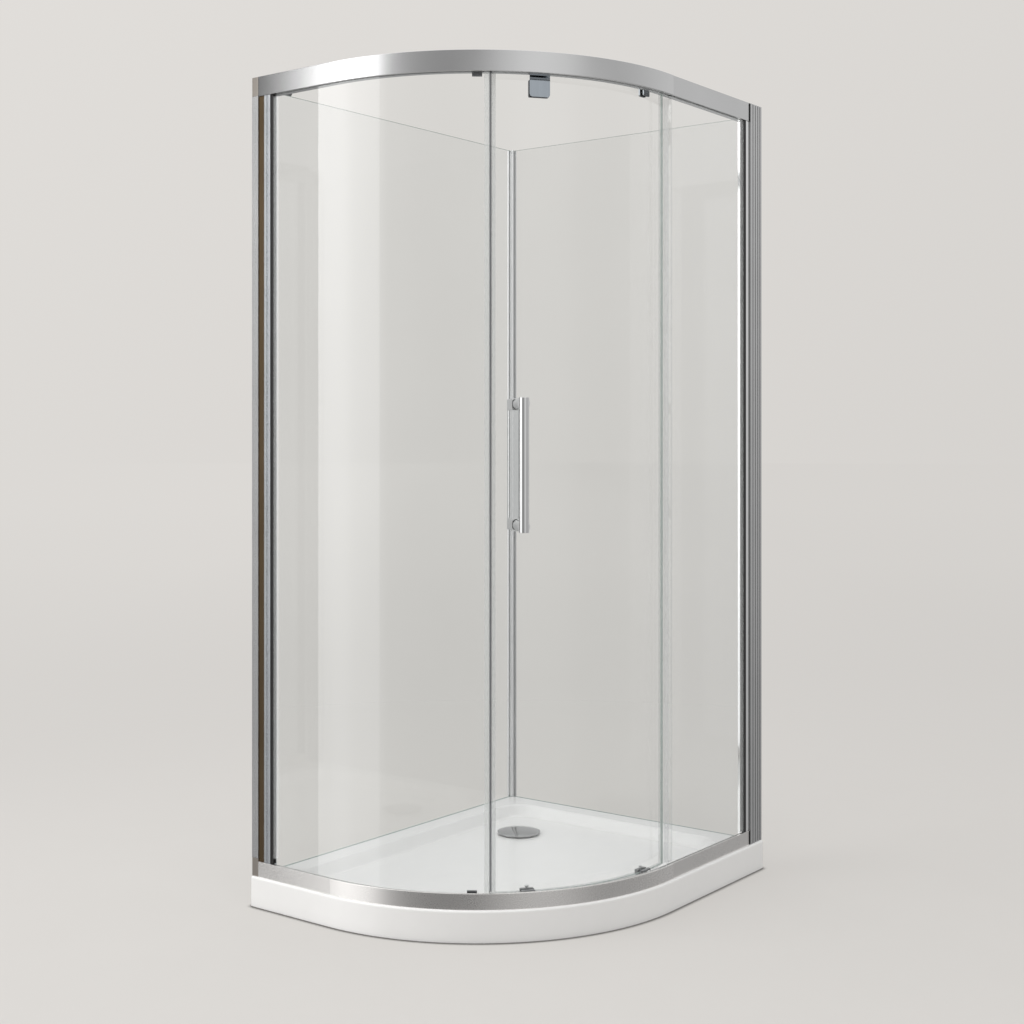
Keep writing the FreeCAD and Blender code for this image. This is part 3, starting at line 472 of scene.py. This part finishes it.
# the bands fade to an even ceiling above and to the floor's colour below
high = wt.nodes.new("ShaderNodeMapRange")
high.inputs["From Min"].default_value = 0.50
high.inputs["From Max"].default_value = 0.85
wt.links.new(sx.outputs["Z"], high.inputs["Value"])
low = wt.nodes.new("ShaderNodeMapRange")
low.inputs["From Min"].default_value = -0.45
low.inputs["From Max"].default_value = -0.75
wt.links.new(sx.outputs["Z"], low.inputs["Value"])
fall = wt.nodes.new("ShaderNodeMapRange")
fall.inputs["From Min"].default_value = 0.20
fall.inputs["From Max"].default_value = -0.26
fall.inputs["To Min"].default_value = 1.0
fall.inputs["To Max"].default_value = 0.58
wt.links.new(sx.outputs["Z"], fall.inputs["Value"])
shade = wt.nodes.new("ShaderNodeVectorMath")
shade.operation = "SCALE"
wt.links.new(band.outputs["Color"], shade.inputs[0])
wt.links.new(fall.outputs[0], shade.inputs["Scale"])
m1 = wt.nodes.new("ShaderNodeMix")
m1.data_type = "RGBA"
m1.inputs["B"].default_value = (1.15 / 4, 1.15 / 4, 1.15 / 4, 1)
m1.inputs[7].default_value = (1.15 / 4, 1.15 / 4, 1.15 / 4, 1)
wt.links.new(high.outputs[0], m1.inputs["Factor"])
wt.links.new(shade.outputs[0], m1.inputs[6])
m2 = wt.nodes.new("ShaderNodeMix")
m2.data_type = "RGBA"
m2.inputs[7].default_value = (0.6 / 4, 0.58 / 4, 0.56 / 4, 1)
wt.links.new(low.outputs[0], m2.inputs["Factor"])
wt.links.new(m1.outputs[2], m2.inputs[6])
bg_light = wt.nodes.new("ShaderNodeBackground")
bg_light.inputs["Strength"].default_value = 4.0
wt.links.new(m2.outputs[2], bg_light.inputs["Color"])
bg_seen = wt.nodes.new("ShaderNodeBackground")
bg_seen.inputs["Color"].default_value = BG + (1,)
bg_seen.inputs["Strength"].default_value = 1.0
tilt = wmath("ADD", 1.0, wmath("ADD", wmath("MULTIPLY", sx.outputs["X"], -0.0799), wmath("MULTIPLY", sx.outputs["Y"], -0.0602)))
rise = wt.nodes.new("ShaderNodeMapRange")
rise.inputs["From Min"].default_value = 0.0
rise.inputs["From Max"].default_value = 0.27
rise.inputs["To Min"].default_value = 0.955
rise.inputs["To Max"].default_value = 1.0
wt.links.new(sx.outputs["Z"], rise.inputs["Value"])
wt.links.new(wmath("MULTIPLY", tilt, rise.outputs[0]), bg_seen.inputs["Strength"])
lp = wt.nodes.new("ShaderNodeLightPath")
wm = wt.nodes.new("ShaderNodeMixShader")
wt.links.new(lp.outputs["Is Camera Ray"], wm.inputs["Fac"])
wt.links.new(bg_light.outputs[0], wm.inputs[1])
wt.links.new(bg_seen.outputs[0], wm.inputs[2])
wt.links.new(wm.outputs[0], wout.inputs["Surface"])


def area(name, loc, target, size, power, colour=(1, 1, 1)):
    l = bpy.data.lights.new(name, "AREA")
    l.shape = "RECTANGLE"
    l.size, l.size_y = size
    l.energy = power
    l.color = colour
    o = bpy.data.objects.new(name, l)
    o.location = loc
    o.rotation_euler = (Vector(target) - Vector(loc)).to_track_quat("-Z", "Y").to_euler()
    scene.collection.objects.link(o)
    o.visible_camera = False
    o.visible_glossy = False
    return o


area("top_soft", (0.3, -0.9, 3.9), (0, 0, 0.3), (3.2, 3.2), 34.0)
area("left_soft", (-2.9, -2.6, 1.7), (0, 0, 0.5), (1.8, 2.6), 34.0)


def softbox(name, left, right, z0, z1, power, side_grade, up_grade):
    """an upright light seen in the glass and the rails, between two plan points"""
    l = bpy.data.lights.new(name, "AREA")
    l.shape = "RECTANGLE"
    a, b = Vector((left[0], left[1], 0)), Vector((right[0], right[1], 0))
    l.size, l.size_y = (b - a).length, z1 - z0
    l.energy = power
    # brighter at the top and towards one side
    l.use_nodes = True
    t = l.node_tree
    t.nodes.clear()
    out = t.nodes.new("ShaderNodeOutputLight")
    em = t.nodes.new("ShaderNodeEmission")
    tc = t.nodes.new("ShaderNodeTexCoord")
    sp = t.nodes.new("ShaderNodeSeparateXYZ")
    t.links.new(tc.outputs["UV"], sp.inputs[0])
    ru = t.nodes.new("ShaderNodeValToRGB")
    rv = t.nodes.new("ShaderNodeValToRGB")
    for r, stops, src in ((ru, side_grade, "X"), (rv, up_grade, "Y")):
        el = r.color_ramp.elements
        el[0].position, el[1].position = stops[0][0], stops[-1][0]
        el[0].color = (stops[0][1],) * 3 + (1,)
        el[1].color = (stops[-1][1],) * 3 + (1,)
        for q, v in stops[1:-1]:
            el.new(q).color = (v, v, v, 1)
        t.links.new(sp.outputs[src], r.inputs["Fac"])
    mul = t.nodes.new("ShaderNodeVectorMath")
    mul.operation = "MULTIPLY"
    t.links.new(ru.outputs["Color"], mul.inputs[0])
    t.links.new(rv.outputs["Color"], mul.inputs[1])
    t.links.new(mul.outputs[0], em.inputs["Color"])
    em.inputs["Strength"].default_value = 1.0
    t.links.new(em.outputs[0], out.inputs["Surface"])
    o = bpy.data.objects.new(name, l)
    o.location = (a + b) / 2 + Vector((0, 0, (z0 + z1) / 2))
    o.rotation_euler = (Vector((0, -0.2, o.location.z)) - o.location).to_track_quat("-Z", "Y").to_euler()
    scene.collection.objects.link(o)
    o.visible_camera = False
    return o


softbox("tall_softbox", (-1.476, -1.848), (-0.45, -2.17), -0.7, 3.4, 35.0, [(0.0, 1.0), (0.25, 0.80), (0.5, 0.50), (1.0, 0.30)], [(0.0, 0.36), (0.2, 0.38), (0.38, 0.60), (0.55, 0.85), (0.75, 1.0), (1.0, 1.0)])
